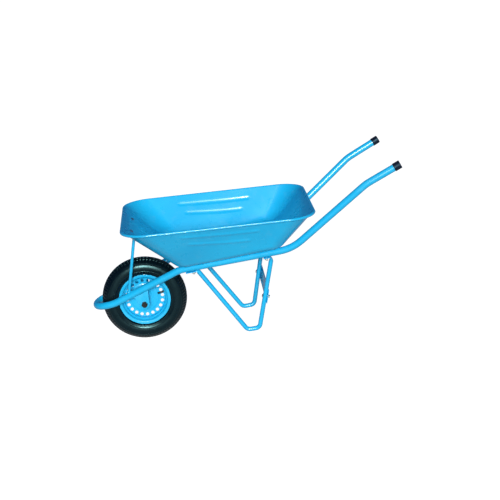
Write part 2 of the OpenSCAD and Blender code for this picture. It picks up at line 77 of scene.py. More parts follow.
def placed(points):
    """Millimetres from the axle's x to metres in the row frame."""
    return (np.asarray(points, float) + vec(AXLE_X, 0, 0)) / 1000


def mirrored(points):
    return np.asarray(points, float) * vec(1, -1, 1)


def smooth(t):
    t = np.clip(t, 0, 1)
    return t * t * (3 - 2 * t)


# ---------------------------------------------------------------- materials


def new_material(name):
    m = bpy.data.materials.new(name)
    m.use_nodes = True
    m.node_tree.nodes.clear()
    out = m.node_tree.nodes.new("ShaderNodeOutputMaterial")
    shader = m.node_tree.nodes.new("ShaderNodeBsdfPrincipled")
    m.node_tree.links.new(shader.outputs[0], out.inputs[0])
    return m, m.node_tree, shader


def node(tree, kind, inputs=None, **settings):
    n = tree.nodes.new(kind)
    for key, value in settings.items():
        setattr(n, key, value)
    for key, value in (inputs or {}).items():
        if isinstance(value, bpy.types.NodeSocket):
            tree.links.new(value, n.inputs[key])
        else:
            n.inputs[key].default_value = value
    return n


def coords(tree):
    return node(tree, "ShaderNodeTexCoord").outputs["Object"]


def noise_at(tree, where, scale, detail=3.0, rough=0.55):
    inputs = {"Vector": where, "Scale": scale, "Detail": detail, "Roughness": rough}
    return node(tree, "ShaderNodeTexNoise", inputs).outputs["Fac"]


def remap(tree, value, a, b, c, d):
    inputs = {"Value": value, "From Min": a, "From Max": b, "To Min": c, "To Max": d}
    return node(tree, "ShaderNodeMapRange", inputs).outputs["Result"]


def times(tree, a, b):
    return node(tree, "ShaderNodeMath", {0: a, 1: b}, operation="MULTIPLY").outputs[0]


def blended(tree, share, a, b):
    n = tree.nodes.new("ShaderNodeMix")
    n.data_type = "RGBA"
    for key, value in ((0, share), (6, a), (7, b)):
        if isinstance(value, bpy.types.NodeSocket):
            tree.links.new(value, n.inputs[key])
        else:
            n.inputs[key].default_value = value
    return n.outputs[2]


def bumped(tree, height, distance, strength=1.0, under=None):
    n = node(tree, "ShaderNodeBump", {"Height": height, "Distance": distance, "Strength": strength})
    if under is not None:
        tree.links.new(under, n.inputs["Normal"])
    return n.outputs["Normal"]


def edge_mask(tree, radius):
    """1 on sharp outside and inside edges, 0 on plain faces."""
    soft = node(tree, "ShaderNodeBevel", {"Radius": radius}, samples=6).outputs[0]
    flat = node(tree, "ShaderNodeNewGeometry").outputs["Normal"]
    facing = node(tree, "ShaderNodeVectorMath", {0: soft, 1: flat}, operation="DOT_PRODUCT")
    return remap(tree, facing.outputs["Value"], 0.995, 0.90, 0.0, 1.0)


def paint(name, waviness):
    """Glossy blue enamel with orange peel, faint mottling, a painted highlight in patches along its edges and
    a few chips.
    """
    m, t, s = new_material(name)
    where = coords(t)
    mottle = remap(t, noise_at(t, where, 5.0, 4.0), 0.35, 0.65, 0.0, 1.0)
    body = blended(t, mottle, (0.007, 0.350, 0.70, 1), (0.010, 0.390, 0.75, 1))
    edges = edge_mask(t, 0.0018)
    # painted highlight: patches along the edges are mixed towards a lighter blue
    edge_highlight = times(t, edges, remap(t, noise_at(t, where, 60.0, 5.0), 0.42, 0.62, 0.0, 0.5))
    body = blended(t, edge_highlight, body, (0.13, 0.56, 0.86, 1))
    chips = times(t, edges, remap(t, noise_at(t, where, 190.0, 6.0, 0.7), 0.70, 0.74, 0.0, 1.0))
    body = blended(t, chips, body, (0.06, 0.075, 0.09, 1))
    dust = remap(t, noise_at(t, where, 26.0, 6.0, 0.65), 0.55, 0.80, 0.0, 0.06)
    body = blended(t, dust, body, (0.55, 0.60, 0.62, 1))
    t.links.new(body, s.inputs["Base Color"])
    rough = remap(t, noise_at(t, where, 17.0, 5.0), 0.3, 0.7, 0.24, 0.36)
    t.links.new(rough, s.inputs["Roughness"])
    s.inputs["Specular IOR Level"].default_value = 0.35
    s.inputs["Coat Weight"].default_value = 0.22
    s.inputs["Coat Roughness"].default_value = 0.12
    peel = bumped(t, noise_at(t, where, 420.0, 2.0), 0.00012, 0.5)
    if waviness:
        peel = bumped(t, noise_at(t, where, 11.0, 1.0), waviness, 1.0, peel)
    t.links.new(peel, s.inputs["Normal"])
    return m


def tyre_rubber():
    """Moulded tyre rubber: dusty in its hollows, finely pitted, with broad shine."""
    m, t, s = new_material("moulded_tyre_rubber")
    where = coords(t)
    grime = remap(t, noise_at(t, where, 24.0, 6.0, 0.6), 0.42, 0.72, 0.0, 0.35)
    body = blended(t, grime, (0.0008, 0.0036, 0.0060, 1), (0.0016, 0.0060, 0.0090, 1))
    hollow = node(t, "ShaderNodeAmbientOcclusion", {"Distance": 0.006}, samples=6, only_local=True)
    body = blended(t, remap(t, hollow.outputs["AO"], 0.6, 0.2, 0.0, 0.4), body, (0.008, 0.011, 0.012, 1))
    t.links.new(body, s.inputs["Base Color"])
    t.links.new(remap(t, noise_at(t, where, 38.0, 5.0), 0.3, 0.7, 0.24, 0.34), s.inputs["Roughness"])
    s.inputs["Specular IOR Level"].default_value = 0.36
    s.inputs["Specular Tint"].default_value = (0.42, 0.85, 1.0, 1)
    fine = bumped(t, noise_at(t, where, 1400.0, 2.0), 0.00006, 0.6)
    t.links.new(bumped(t, noise_at(t, where, 160.0, 3.0), 0.0001, 0.4, fine), s.inputs["Normal"])
    return m


def soft_rubber():
    m, t, s = new_material("smooth_tube_rubber")
    where = coords(t)
    tone = remap(t, noise_at(t, where, 90.0, 4.0), 0.3, 0.7, 0.0, 1.0)
    body = blended(t, tone, (0.006, 0.007, 0.009, 1), (0.014, 0.015, 0.017, 1))
    t.links.new(body, s.inputs["Base Color"])
    t.links.new(remap(t, noise_at(t, where, 150.0, 4.0), 0.3, 0.7, 0.45, 0.62), s.inputs["Roughness"])
    t.links.new(bumped(t, noise_at(t, where, 900.0, 2.0), 0.00008, 0.6), s.inputs["Normal"])
    return m


def plastic():
    """Dark moulded plastic with a fine grain and worn edges."""
    m, t, s = new_material("moulded_dark_plastic")
    where = coords(t)
    tone = remap(t, noise_at(t, where, 45.0, 4.0), 0.35, 0.65, 0.0, 1.0)
    body = blended(t, tone, (0.0025, 0.005, 0.014, 1), (0.005, 0.009, 0.022, 1))
    worn = times(t, edge_mask(t, 0.0012), remap(t, noise_at(t, where, 140.0, 5.0), 0.45, 0.65, 0.0, 0.6))
    t.links.new(blended(t, worn, body, (0.05, 0.06, 0.085, 1)), s.inputs["Base Color"])
    t.links.new(remap(t, noise_at(t, where, 70.0, 4.0), 0.3, 0.7, 0.34, 0.48), s.inputs["Roughness"])
    s.inputs["Specular IOR Level"].default_value = 0.28
    s.inputs["Specular Tint"].default_value = (0.4, 0.7, 1.0, 1)
    t.links.new(bumped(t, noise_at(t, where, 1800.0, 2.0), 0.00007, 0.8), s.inputs["Normal"])
    return m


def zinc():
    """Bright zinc plating with a faint crystal pattern and fine scratches."""
    m, t, s = new_material("bright_zinc_plating")
    where = coords(t)
    cells = node(t, "ShaderNodeTexVoronoi", {"Vector": where, "Scale": 420.0}).outputs["Color"]
    grey = node(t, "ShaderNodeSeparateColor", {"Color": cells}).outputs[0]
    tone = blended(t, grey, (0.58, 0.60, 0.62, 1), (0.74, 0.75, 0.74, 1))
    dull = remap(t, noise_at(t, where, 70.0, 5.0), 0.5, 0.75, 0.0, 0.5)
    t.links.new(blended(t, dull, tone, (0.36, 0.37, 0.38, 1)), s.inputs["Base Color"])
    s.inputs["Metallic"].default_value = 1.0
    t.links.new(remap(t, noise_at(t, where, 230.0, 5.0), 0.3, 0.7, 0.22, 0.42), s.inputs["Roughness"])
    t.links.new(bumped(t, noise_at(t, where, 1100.0, 3.0), 0.00005, 0.6), s.inputs["Normal"])
    return m


def dark_steel():
    """Blackened steel of the axle's ends and nuts."""
    m, t, s = new_material("blackened_steel")
    where = coords(t)
    tone = remap(t, noise_at(t, where, 120.0, 5.0), 0.4, 0.7, 0.0, 1.0)
    body = blended(t, tone, (0.004, 0.005, 0.007, 1), (0.016, 0.017, 0.020, 1))
    t.links.new(body, s.inputs["Base Color"])
    s.inputs["Metallic"].default_value = 0.5
    t.links.new(remap(t, noise_at(t, where, 200.0, 5.0), 0.3, 0.7, 0.35, 0.55), s.inputs["Roughness"])
    t.links.new(bumped(t, noise_at(t, where, 900.0, 3.0), 0.00006, 0.7), s.inputs["Normal"])
    return m


def pale_floor():
    m, t, s = new_material("pale_floor")
    where = coords(t)
    tone = remap(t, noise_at(t, where, 1.3, 3.0), 0.3, 0.7, 0.0, 1.0)
    t.links.new(blended(t, tone, (0.24, 0.25, 0.27, 1), (0.27, 0.27, 0.28, 1)), s.inputs["Base Color"])
    s.inputs["Roughness"].default_value = 0.9
    s.inputs["Emission Color"].default_value = (1, 1, 1, 1)
    path = node(t, "ShaderNodeLightPath").outputs
    seen = times(t, path["Is Camera Ray"], 0.95)
    mirrored_glow = times(t, path["Is Glossy Ray"], 0.34)
    glow = node(t, "ShaderNodeMath", {0: seen, 1: mirrored_glow}, operation="MAXIMUM")
    t.links.new(glow.outputs[0], s.inputs["Emission Strength"])
    return m


PAINT = paint("blue_enamel", 0.0)
PAINT_SHEET = paint("blue_enamel_on_sheet", 0.0006)
TYRE = tyre_rubber()
RUBBER = soft_rubber()
PLASTIC = plastic()
ZINC = zinc()
DARK = dark_steel()

# ---------------------------------------------------------------- mesh helpers


def piece(name, points, faces, body, material, replaces=(), sharp=35.0):
    """A closed mesh piece from points in millimetres."""
    mesh = bpy.data.meshes.new(name)
    mesh.from_pydata([tuple(p) for p in placed(points)], [], [tuple(f) for f in faces])
    work = bmesh.new()
    work.from_mesh(mesh)
    bmesh.ops.remove_doubles(work, verts=work.verts, dist=2e-6)
    bmesh.ops.recalc_face_normals(work, faces=work.faces)
    work.to_mesh(mesh)
    work.free()
    for polygon in mesh.polygons:
        polygon.use_smooth = True
    mesh.set_sharp_from_angle(angle=math.radians(sharp))
    obj = bpy.data.objects.new(name, mesh)
    bpy.context.scene.collection.objects.link(obj)
    mesh.materials.append(material)
    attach(obj, body)
    if replaces:
        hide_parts(*replaces)


def grid_faces(rows, columns, close_rows=False, close_columns=False):
    """Quads over a rows by columns grid of points."""
    faces = []
    for i in range(rows if close_rows else rows - 1):
        n = (i + 1) % rows
        for j in range(columns if close_columns else columns - 1):
            k = (j + 1) % columns
            here, after = i * columns, n * columns
            faces.append((here + j, after + j, after + k, here + k))
    return faces


def bent_path(corners, radii, spacing=5.0):
    """Points along straight runs joined by bends, no further apart than spacing."""
    stops = [np.asarray(corners[0], float)]
    for i in range(1, len(corners) - 1):
        a, b, c = (np.asarray(p, float) for p in corners[i - 1 : i + 2])
        d1, d2 = unit(b - a), unit(c - b)
        turn = math.acos(max(-1, min(1, float(d1 @ d2))))
        setback = radii[i] * math.tan(turn / 2)
        inward = np.cross(unit(np.cross(d1, d2)), d1)
        centre = b - d1 * setback + inward * radii[i]
        steps = max(6, int(math.ceil(turn * radii[i] / spacing)))
        for k in range(steps + 1):
            w = turn * k / steps
            stops.append(centre - inward * radii[i] * math.cos(w) + d1 * radii[i] * math.sin(w))
    stops.append(np.asarray(corners[-1], float))
    out = [stops[0]]
    for a, b in zip(stops, stops[1:]):
        n = max(1, int(math.ceil(np.linalg.norm(b - a) / spacing)))
        out += [a + (b - a) * k / n for k in range(1, n + 1)]
    return np.array(out)


def sweep(path, section, across, closed=False):
    """Points and faces of a closed body swept along path. section(s) gives the outline at
    length s as (across, up) pairs; across is the direction of its first axis at the start."""
    ahead = np.roll(path, -1, 0) - np.roll(path, 1, 0)
    if not closed:
        ahead[0], ahead[-1] = path[1] - path[0], path[-1] - path[-2]
    steps = np.linalg.norm(np.diff(path, axis=0), axis=1)
    lengths = np.concatenate([[0], np.cumsum(steps)])
    points, side = [], np.asarray(across, float)
    for p, d, s in zip(path, ahead, lengths):
        d = unit(d)
        side = unit(side - d * (side @ d))
        up = np.cross(d, side)
        points += [p + side * x + up * y for x, y in section(s)]
    n = len(section(0.0))
    faces = grid_faces(len(path), n, close_rows=closed, close_columns=True)
    if not closed:
        base = len(path) * n
        points += [path[0], path[-1]]
        faces += [(base, (j + 1) % n, j) for j in range(n)]
        last = (len(path) - 1) * n
        faces += [(base + 1, last + j, last + (j + 1) % n) for j in range(n)]
    return np.array(points), faces


def joined(parts):
    """One point and face list from several."""
    points, faces, base = [], [], 0
    for p, f in parts:
        points.append(np.asarray(p, float))
        faces += [tuple(i + base for i in face) for face in f]
        base += len(p)
    return np.vstack(points), faces


def lathe(profile, turns=96):
    """Points and faces of a closed (radius, left) outline turned about the axle."""
    profile = np.asarray(profile, float)
    a = np.arange(turns) * 2 * math.pi / turns
    points = np.stack([np.outer(np.cos(a), profile[:, 0]),
        np.outer(np.ones(turns), -profile[:, 1]),
        AXLE_Z + np.outer(np.sin(a), profile[:, 0])], axis=-1)
    return points.reshape(-1, 3), grid_faces(turns, len(profile), True, True)


def rounded(outline, radii, steps=4):
    """A closed outline with each corner rounded."""
    out, n = [], len(outline)
    for i in range(n):
        a, b, c = (np.asarray(outline[k % n], float) for k in (i - 1, i, i + 1))
        d1, d2 = unit(b - a), unit(c - b)
        turn = math.acos(max(-1, min(1, float(d1 @ d2))))
        room = min(np.linalg.norm(b - a), np.linalg.norm(c - b)) * 0.48
        if turn < 0.02 or radii[i] <= 0:
            out.append(b)
            continue
        cut = min(room, radii[i] * math.tan(turn / 2))
        start, end = b - d1 * cut, b + d2 * cut
        for t in np.linspace(0, 1, steps + 1):
            out.append((1 - t) ** 2 * start + 2 * t * (1 - t) * b + t * t * end)
    return np.array(out)


def oval(half_w, half_h, power, n=28):
    """Superellipse outline: power 2 is an ellipse, more is boxier."""
    a = np.arange(n) * 2 * math.pi / n
    c, s = np.cos(a), np.sin(a)
    across = half_w * np.sign(c) * np.abs(c) ** (2 / power)
    up = half_h * np.sign(s) * np.abs(s) ** (2 / power)
    return np.stack([across, up], axis=1)


# ---------------------------------------------------------------- the barrow's own numbers

# The left frame tube's straight past the wheel, and its run under the tray
TUBE_R = 15.875
NOSE_END = vec(-130, -78, 210)
RUN_START = vec(183, -136, 328)
RUN_END = vec(678, -225, 360)
PITCH = math.atan((RUN_END[2] - RUN_START[2]) / (RUN_END[0] - RUN_START[0]))
SPLAY = (RUN_END[1] - RUN_START[1]) * math.cos(PITCH) / (RUN_END[0] - RUN_START[0])
FLOOR_ALONG = vec(math.cos(PITCH), 0, math.sin(PITCH))
FLOOR_UP = vec(-math.sin(PITCH), 0, math.cos(PITCH))
FLOOR_AT = vec(RUN_START[0], 0, RUN_START[2] + TUBE_R / math.cos(PITCH))
# The tray's sheet, its bend at the floor, its rolled bead and the channel inside the bead
SHEET = 1.5
BEND_R = 45.0
BEAD_R = 6.0
CHANNEL_R = BEAD_R - SHEET
CURL = math.radians(300)
# Front and rear of the floor along the run, and its half widths there
FLOOR = (18.0, 440.0)
FLOOR_HALF = (163.0, 226.0)
FLOOR_CORNER = 25.0
RIM_L, RIM_W, RIM_CORNER = 830.0, 656.0, 114.0
RIM_FRONT = vec(-31, 0, 562)
FALL = math.radians(3.8)
RIM_ALONG = vec(math.cos(FALL), 0, -math.sin(FALL))
RIM_UP = vec(math.sin(FALL), 0, math.cos(FALL))


def from_floor(u, y, w):
    """A point u along the tray's underside, y across and w above it."""
    return FLOOR_AT + u * FLOOR_ALONG + w * FLOOR_UP + vec(0, y, 0)


def on_run(u, w):
    """A point in line with the left frame tube, w above the tray's underside."""
    return from_floor(u, RUN_START[1] + u * SPLAY, w)


def on_nose(x):
    """A point on the middle line of the left tube beside the wheel."""
    return NOSE_END + (RUN_START - NOSE_END) * (x - NOSE_END[0]) / (RUN_START[0] - NOSE_END[0])


# ---------------------------------------------------------------- tray

SIDE_SLOPE = (FLOOR_HALF[1] - FLOOR_HALF[0]) / (FLOOR[1] - FLOOR[0])
CORNER_STEPS = 20
SIDE_STEPS = (92, 30, 92, 30)


def tray_section(corner, share):
    """Middle of the floor bend, middle of the bead, and the wall's outward directions."""
    rear, side = (1, -1, -1, 1)[corner], (1, 1, -1, -1)[corner]
    splay = math.degrees(math.atan(SIDE_SLOPE))
    turns = (0, 90 + splay, 180, 270 - splay, 360)
    a = math.radians(turns[corner] + share * (turns[corner + 1] - turns[corner]))
    b = math.radians(90 * (corner + share))
    u = FLOOR[1] - FLOOR_CORNER if rear > 0 else FLOOR[0] + FLOOR_CORNER
    line = FLOOR_HALF[0] + (u - FLOOR[0]) * SIDE_SLOPE
    y = side * (line - FLOOR_CORNER * math.hypot(1, SIDE_SLOPE))
    floor_dir = math.cos(a) * FLOOR_ALONG + vec(0, math.sin(a), 0)
    rim_dir = math.cos(b) * RIM_ALONG + vec(0, math.sin(b), 0)
    along = RIM_L - RIM_CORNER if rear > 0 else RIM_CORNER
    bend = from_floor(u, y, BEND_R) + FLOOR_CORNER * floor_dir
    bead = RIM_FRONT + along * RIM_ALONG + vec(0, side * (RIM_W / 2 - RIM_CORNER), 0)
    return bend, bead + RIM_CORNER * rim_dir, floor_dir, rim_dir


def tray_sections():
    """Sections round the tray, corner by corner, with the straight side after each."""
    out = []
    for c, steps in enumerate(SIDE_STEPS):
        out += [tray_section(c, k / CORNER_STEPS) for k in range(CORNER_STEPS + 1)]
        a, b = tray_section(c, 1.0), tray_section((c + 1) % 4, 0.0)
        for k in range(1, steps):
            t = k / steps
            out.append((a[0] + (b[0] - a[0]) * t, a[1] + (b[1] - a[1]) * t, a[2], a[3]))
    return out


# Each pressed rib's middle, its half length and how far it is below the rim
RIBS = ((383.0, 172.0, 46.0), (375.0, 138.0, 96.0))
RIB_HALF = 14.0
RIB_DEPTH = 1.9


def rib_push(x, below, sideways):
    """How far the side wall is pressed outwards, x along the tray and below the rim."""
    push = 0.0
    for middle, half, at in RIBS:
        along = max(0.0, abs(x - middle) - (half - RIB_HALF))
        away = math.hypot(along, below - at) / RIB_HALF
        if away < 1:
            push = max(push, RIB_DEPTH * (0.5 + 0.5 * math.cos(math.pi * away)))
    return push * sideways


def tray_outline(section, bend_steps=9, wall_steps=64, curl_steps=18):
    """The sheet's outline at one section: up its inside face to the curl, and back down outside."""
    bend, bead, floor_dir, rim_dir = section
    gap = bead - bend
    away, height = float(gap @ floor_dir), float(gap @ FLOOR_UP)
    rise = math.atan2(height, away) + math.asin((BEND_R + CHANNEL_R) / math.hypot(away, height))
    climb = math.cos(rise) * floor_dir + math.sin(rise) * FLOOR_UP
    start = math.atan2(float(climb @ RIM_UP), float(climb @ rim_dir)) + math.pi / 2
    out_dir = math.sin(rise) * floor_dir - math.cos(rise) * FLOOR_UP
    sideways = float(smooth((abs(floor_dir[1]) - 0.9) / 0.08))

    def arc(centre, across, up, r, w):
        return centre + r * (math.cos(w) * across + math.sin(w) * up)

    faces = []
    for bend_r, bead_r in ((BEND_R, CHANNEL_R), (BEND_R - SHEET, BEAD_R)):
        angles = [rise * k / bend_steps - math.pi / 2 for k in range(bend_steps + 1)]
        line = [arc(bend, floor_dir, FLOOR_UP, bend_r, w) for w in angles]
        top = arc(bead, rim_dir, RIM_UP, bead_r, start)
        low = line[-1]
        length = np.linalg.norm(top - low)
        for k in range(1, wall_steps):
            p = low + (top - low) * k / wall_steps
            below = length * (1 - k / wall_steps)
            p = p + out_dir * rib_push(p[0], below, sideways)
            line.append(p)
        angles = [start - CURL * k / curl_steps for k in range(curl_steps + 1)]
        line += [arc(bead, rim_dir, RIM_UP, bead_r, w) for w in angles]
        faces.append(line)
    return faces[0] + faces[1][::-1]


def build_tray():
    """Walls from the outlines, and the floor's two faces closed to their middles."""
    outlines = [tray_outline(q) for q in tray_sections()]
    count, w = len(outlines), len(outlines[0])
    points = [p for line in outlines for p in line]
    faces = grid_faces(count, w, close_rows=True)
    middle = (FLOOR[0] + FLOOR[1]) / 2
    for edge, height in ((0, 0.0), (w - 1, SHEET)):
        ring = [i * w + edge for i in range(count)]
        centre = from_floor(middle, 0, height)
        inner = list(range(len(points), len(points) + count))
        points += [centre + 0.9 * (points[i] - centre) for i in ring]
        faces += [(ring[i], ring[(i + 1) % count], inner[(i + 1) % count], inner[i]) for i in range(count)]
        points.append(centre)
        faces += [(inner[i], inner[(i + 1) % count], len(points) - 1) for i in range(count)]
    piece("pressed_tray", points, faces, "frame", PAINT_SHEET, ("tray",), sharp=40)


build_tray()

# ---------------------------------------------------------------- legs and stays

LEG_R = 10.0
LEG_TAB_HALF, LEG_TAB_T = 13.0, 5.0
LEG_FRONT, LEG_REAR = (23, 75), (367, 402)  # each tab's end and its bend, along the floor
FOOT_FRONT, FOOT_REAR = vec(430, -163, LEG_R), vec(484, -166, LEG_R)
LEG_BENDS = (0, 12, 24, 24, 9, 0)
LEG_FLATS = ((44, 16), (30, 16))

def tube_to_tab(round_r, tab_half_w, tab_half_t, ends, total, power=5.0):
    """Section that is a flat tab near each end in ends and a round tube elsewhere. Each end
    is (flat length, length of the change), from the start and from the finish."""

    def section(s):
        share = 0.0
        for (flat, change), at in zip(ends, (s, total - s)):
            if flat or change:
                share = max(share, 1 - float(smooth((at - flat) / change)))
        half_w = round_r + (tab_half_w - round_r) * share
        half_h = round_r + (tab_half_t - round_r) * share
        return oval(half_w, half_h, 2 + (power - 2) * share)

    return section


def path_length(path):
    return float(np.linalg.norm(np.diff(path, axis=0), axis=1).sum())


def build_leg(name, flip, node_name):
    low = -2 * TUBE_R - LEG_TAB_T / 2 - 0.1
    front = [on_run(u, low) for u in LEG_FRONT]
    rear = [on_run(u, low) for u in LEG_REAR[::-1]]
    path = bent_path([*front, FOOT_FRONT, FOOT_REAR, *rear], LEG_BENDS, 2.5)
    section = tube_to_tab(LEG_R, LEG_TAB_HALF, LEG_TAB_T / 2, LEG_FLATS, path_length(path))
    across = vec(math.sin(math.atan(SPLAY)), -1, 0)
    points, faces = sweep(path, section, across)
    piece(name, mirrored(points) if flip else points, faces, "frame", PAINT, (node_name,))


build_leg("leg_tube_left", False, "leg_left")
build_leg("leg_tube_right", True, "leg_right")

# The tray's front wall, where the stays are bolted to it
bead_2d = vec(RIM_FRONT[0], RIM_FRONT[2])
bend_2d = from_floor(FLOOR[0], 0, BEND_R)[[0, 2]]
gap_2d = bend_2d - bead_2d
WALL_SLOPE = math.atan2(gap_2d[1], gap_2d[0]) - math.asin((BEND_R + CHANNEL_R) / np.linalg.norm(gap_2d))
WALL_DIR = vec(math.cos(WALL_SLOPE), 0, math.sin(WALL_SLOPE))
WALL_OUT = vec(math.sin(WALL_SLOPE), 0, -math.cos(WALL_SLOPE))
STAY_BOLT = RIM_FRONT + vec(0, -106, 0) + 49 * WALL_DIR - CHANNEL_R * WALL_OUT
STAY_R = 6.5
STAY_TAB_HALF, STAY_TAB_T = 12.0, 4.0
STAY_OUT = WALL_OUT * 2.1  # from the wall to the middle of the tab
STAY_TOP = STAY_BOLT - 14.5 * WALL_DIR + STAY_OUT
STAY_TURN = STAY_BOLT + 17 * WALL_DIR + STAY_OUT
STAY_FOOT = on_nose(-63)
STAY_DOWN = unit(STAY_FOOT - STAY_TURN)
STAY_FLATS = ((37, 16), (0, 0))


def to_tube(start, direction, a, b, r):
    """Where a line from start meets the round tube of radius r about the line a to b."""
    along = unit(b - a)
    d = direction - along * (direction @ along)
    o = (start - a) - along * ((start - a) @ along)
    k2, k1, k0 = d @ d, d @ o, o @ o - r * r
    return start + direction * ((-k1 - math.sqrt(max(0.0, k1 * k1 - k2 * k0))) / k2)


def build_stay(name, flip, node_name):
    foot = to_tube(STAY_TURN, STAY_DOWN, NOSE_END, RUN_START, TUBE_R - 2.5)
    path = bent_path([STAY_TOP, STAY_TURN, foot], (0, 10, 0), 3.0)
    section = tube_to_tab(STAY_R, STAY_TAB_HALF, STAY_TAB_T / 2, STAY_FLATS, path_length(path))
    points, faces = sweep(path, section, vec(0, -1, 0))
    piece(name, mirrored(points) if flip else points, faces, "frame", PAINT, (node_name,))


build_stay("front_stay_left", False, "tray_stay_left")
build_stay("front_stay_right", True, "tray_stay_right")

# ---------------------------------------------------------------- welds


WELD_R = 1.9
RIPPLE = 3.1
BRACKET_FACES = (-100.6, -95.4)
BRACKET_SPAN = (-43, 25)
HUB_WELD_RING, HUB_WELD_STEPS = 18.9, 110


def weld(path, r, seed, closed=False):
    """A rippled weld bead along path."""

    def section(s):
        ripple = 1 + 0.16 * math.cos(2 * math.pi * s / RIPPLE)
        ripple += 0.10 * noise.noise(Vector((s * 0.21, seed, 0.0)))
        return oval(r * ripple, r * ripple, 2, 10)

    return sweep(np.asarray(path), section, vec(0.31, 0.2, 0.93), closed)


def bracket_weld(y):
    """Along the underside of the frame tube where a bracket's face meets it."""
    line = []
    for x in np.linspace(*BRACKET_SPAN, 60):
        c = on_nose(x)
        drop = math.sqrt(max(0.0, TUBE_R**2 - (y - c[1]) ** 2))
        line.append(vec(x, y, c[2] - drop * 1.03 - 0.2))
    return np.array(line)


def stay_weld():
    """Round a stay's foot, where it meets the frame tube."""
    side = unit(np.cross(STAY_DOWN, vec(1, 0, 0)))
    out = np.cross(STAY_DOWN, side)
    ring, steps = [], 48
    for k in range(steps):
        a = 2 * math.pi * k / steps
        start = STAY_FOOT - 60 * STAY_DOWN + (STAY_R + 0.8) * (math.cos(a) * side + math.sin(a) * out)
        ring.append(to_tube(start, STAY_DOWN, NOSE_END, RUN_START, TUBE_R + 0.4))
    return np.array(ring)


def build_welds():
    left = [weld(bracket_weld(y), WELD_R, seed) for y, seed in zip(BRACKET_FACES, (1.0, 2.0))]
    left.append(weld(stay_weld(), 1.8, 3.0, True))
    points, faces = joined(left + [(mirrored(p), f) for p, f in left])
    piece("frame_weld_beads", points, faces, "frame", PAINT, sharp=60)
    rings = []
    for seed, z in ((4.0, 3.6), (5.0, -1.6)):
        a = np.arange(HUB_WELD_STEPS) * 2 * math.pi / HUB_WELD_STEPS
        x, up = HUB_WELD_RING * np.cos(a), AXLE_Z + HUB_WELD_RING * np.sin(a)
        ring = np.stack([x, np.full(HUB_WELD_STEPS, -z), up], axis=1)
        rings.append(weld(ring, WELD_R, seed, True))
    points, faces = joined(rings)
    piece("hub_weld_beads", points, faces, "wheel", PAINT, sharp=60)


build_welds()

# ---------------------------------------------------------------- wheel


def wheel_point(r, a, left):
    """A point on the wheel by radius, angle and distance to the left of its middle."""
    return vec(r * math.cos(a), -left, AXLE_Z + r * math.sin(a))


def build_rim():
    """The rim turned from its outline in (radius, left), first the tyre's side of it."""
    outer = [(115.8, 33.9), (115.8, 32.2), (106, 30), (103, 27), (102, 17), (94.5, 12)]
    inner = [(112.5, 33.9), (104.5, 33), (100.3, 28), (99.6, 18.5), (92.5, 13.5)]
    outline = outer + [(r, -z) for r, z in outer[::-1]] + [(r, -z) for r, z in inner] + inner[::-1]
    radii = [1.0, 1.0, 4, 3, 4, 4]
    back = [1.0, 3, 3, 3, 3]
    outline = rounded(outline, radii + radii[::-1] + back + back[::-1], 4)
    points, faces = lathe(outline, 160)
    piece("wheel_rim_shell", points, faces, "wheel", PAINT, ("wheel_rim",), sharp=50)


HOLES, HOLE_RING, HOLE_R = 20, 80.0, 7.5
FIRST_HOLE = 0.9  # in hole spacings from the front
PER_HOLE = 6
BAND_IN, BAND_OUT = 70, 90
DISC_HALF = 1.25
# Radii of the plate inside the band of holes, and (radius, left) of its turned edge
PLATE_RADII = (18.05, 22, 26, 30, 31.5, 33, 34.5, 36, 48, 59, 61, 62.5, 64, 66, BAND_IN)
EDGE_FRONT = (
    (BAND_OUT, 1.25), (91.0, 1.05), (91.8, 0.5), (92.3, -0.4), (92.5, -1.6), (92.5, -10.4), (92.2, -10.75),
)
EDGE_BACK = ((BAND_OUT, -1.25), (89.98, -1.4), (89.98, -10.4), (90.3, -10.75))
# How far outside each hole a ring lies, and its place in the sheet: a low lip in front
LIP = (
    (None, DISC_HALF), (4.2, DISC_HALF), (1.6, DISC_HALF + 0.5), (0.5, DISC_HALF + 0.3),
    (0.0, DISC_HALF - 0.4), (0.0, -DISC_HALF + 0.3), (0.5, -DISC_HALF), (4.2, -DISC_HALF), (None, -DISC_HALF),
)


def disc_lift(r):
    """The disc's middle is pressed out a little towards the valve's side."""
    return 2.2 * float(smooth((66 - r) / 7)) - 1.2 * float(smooth((36 - r) / 5))


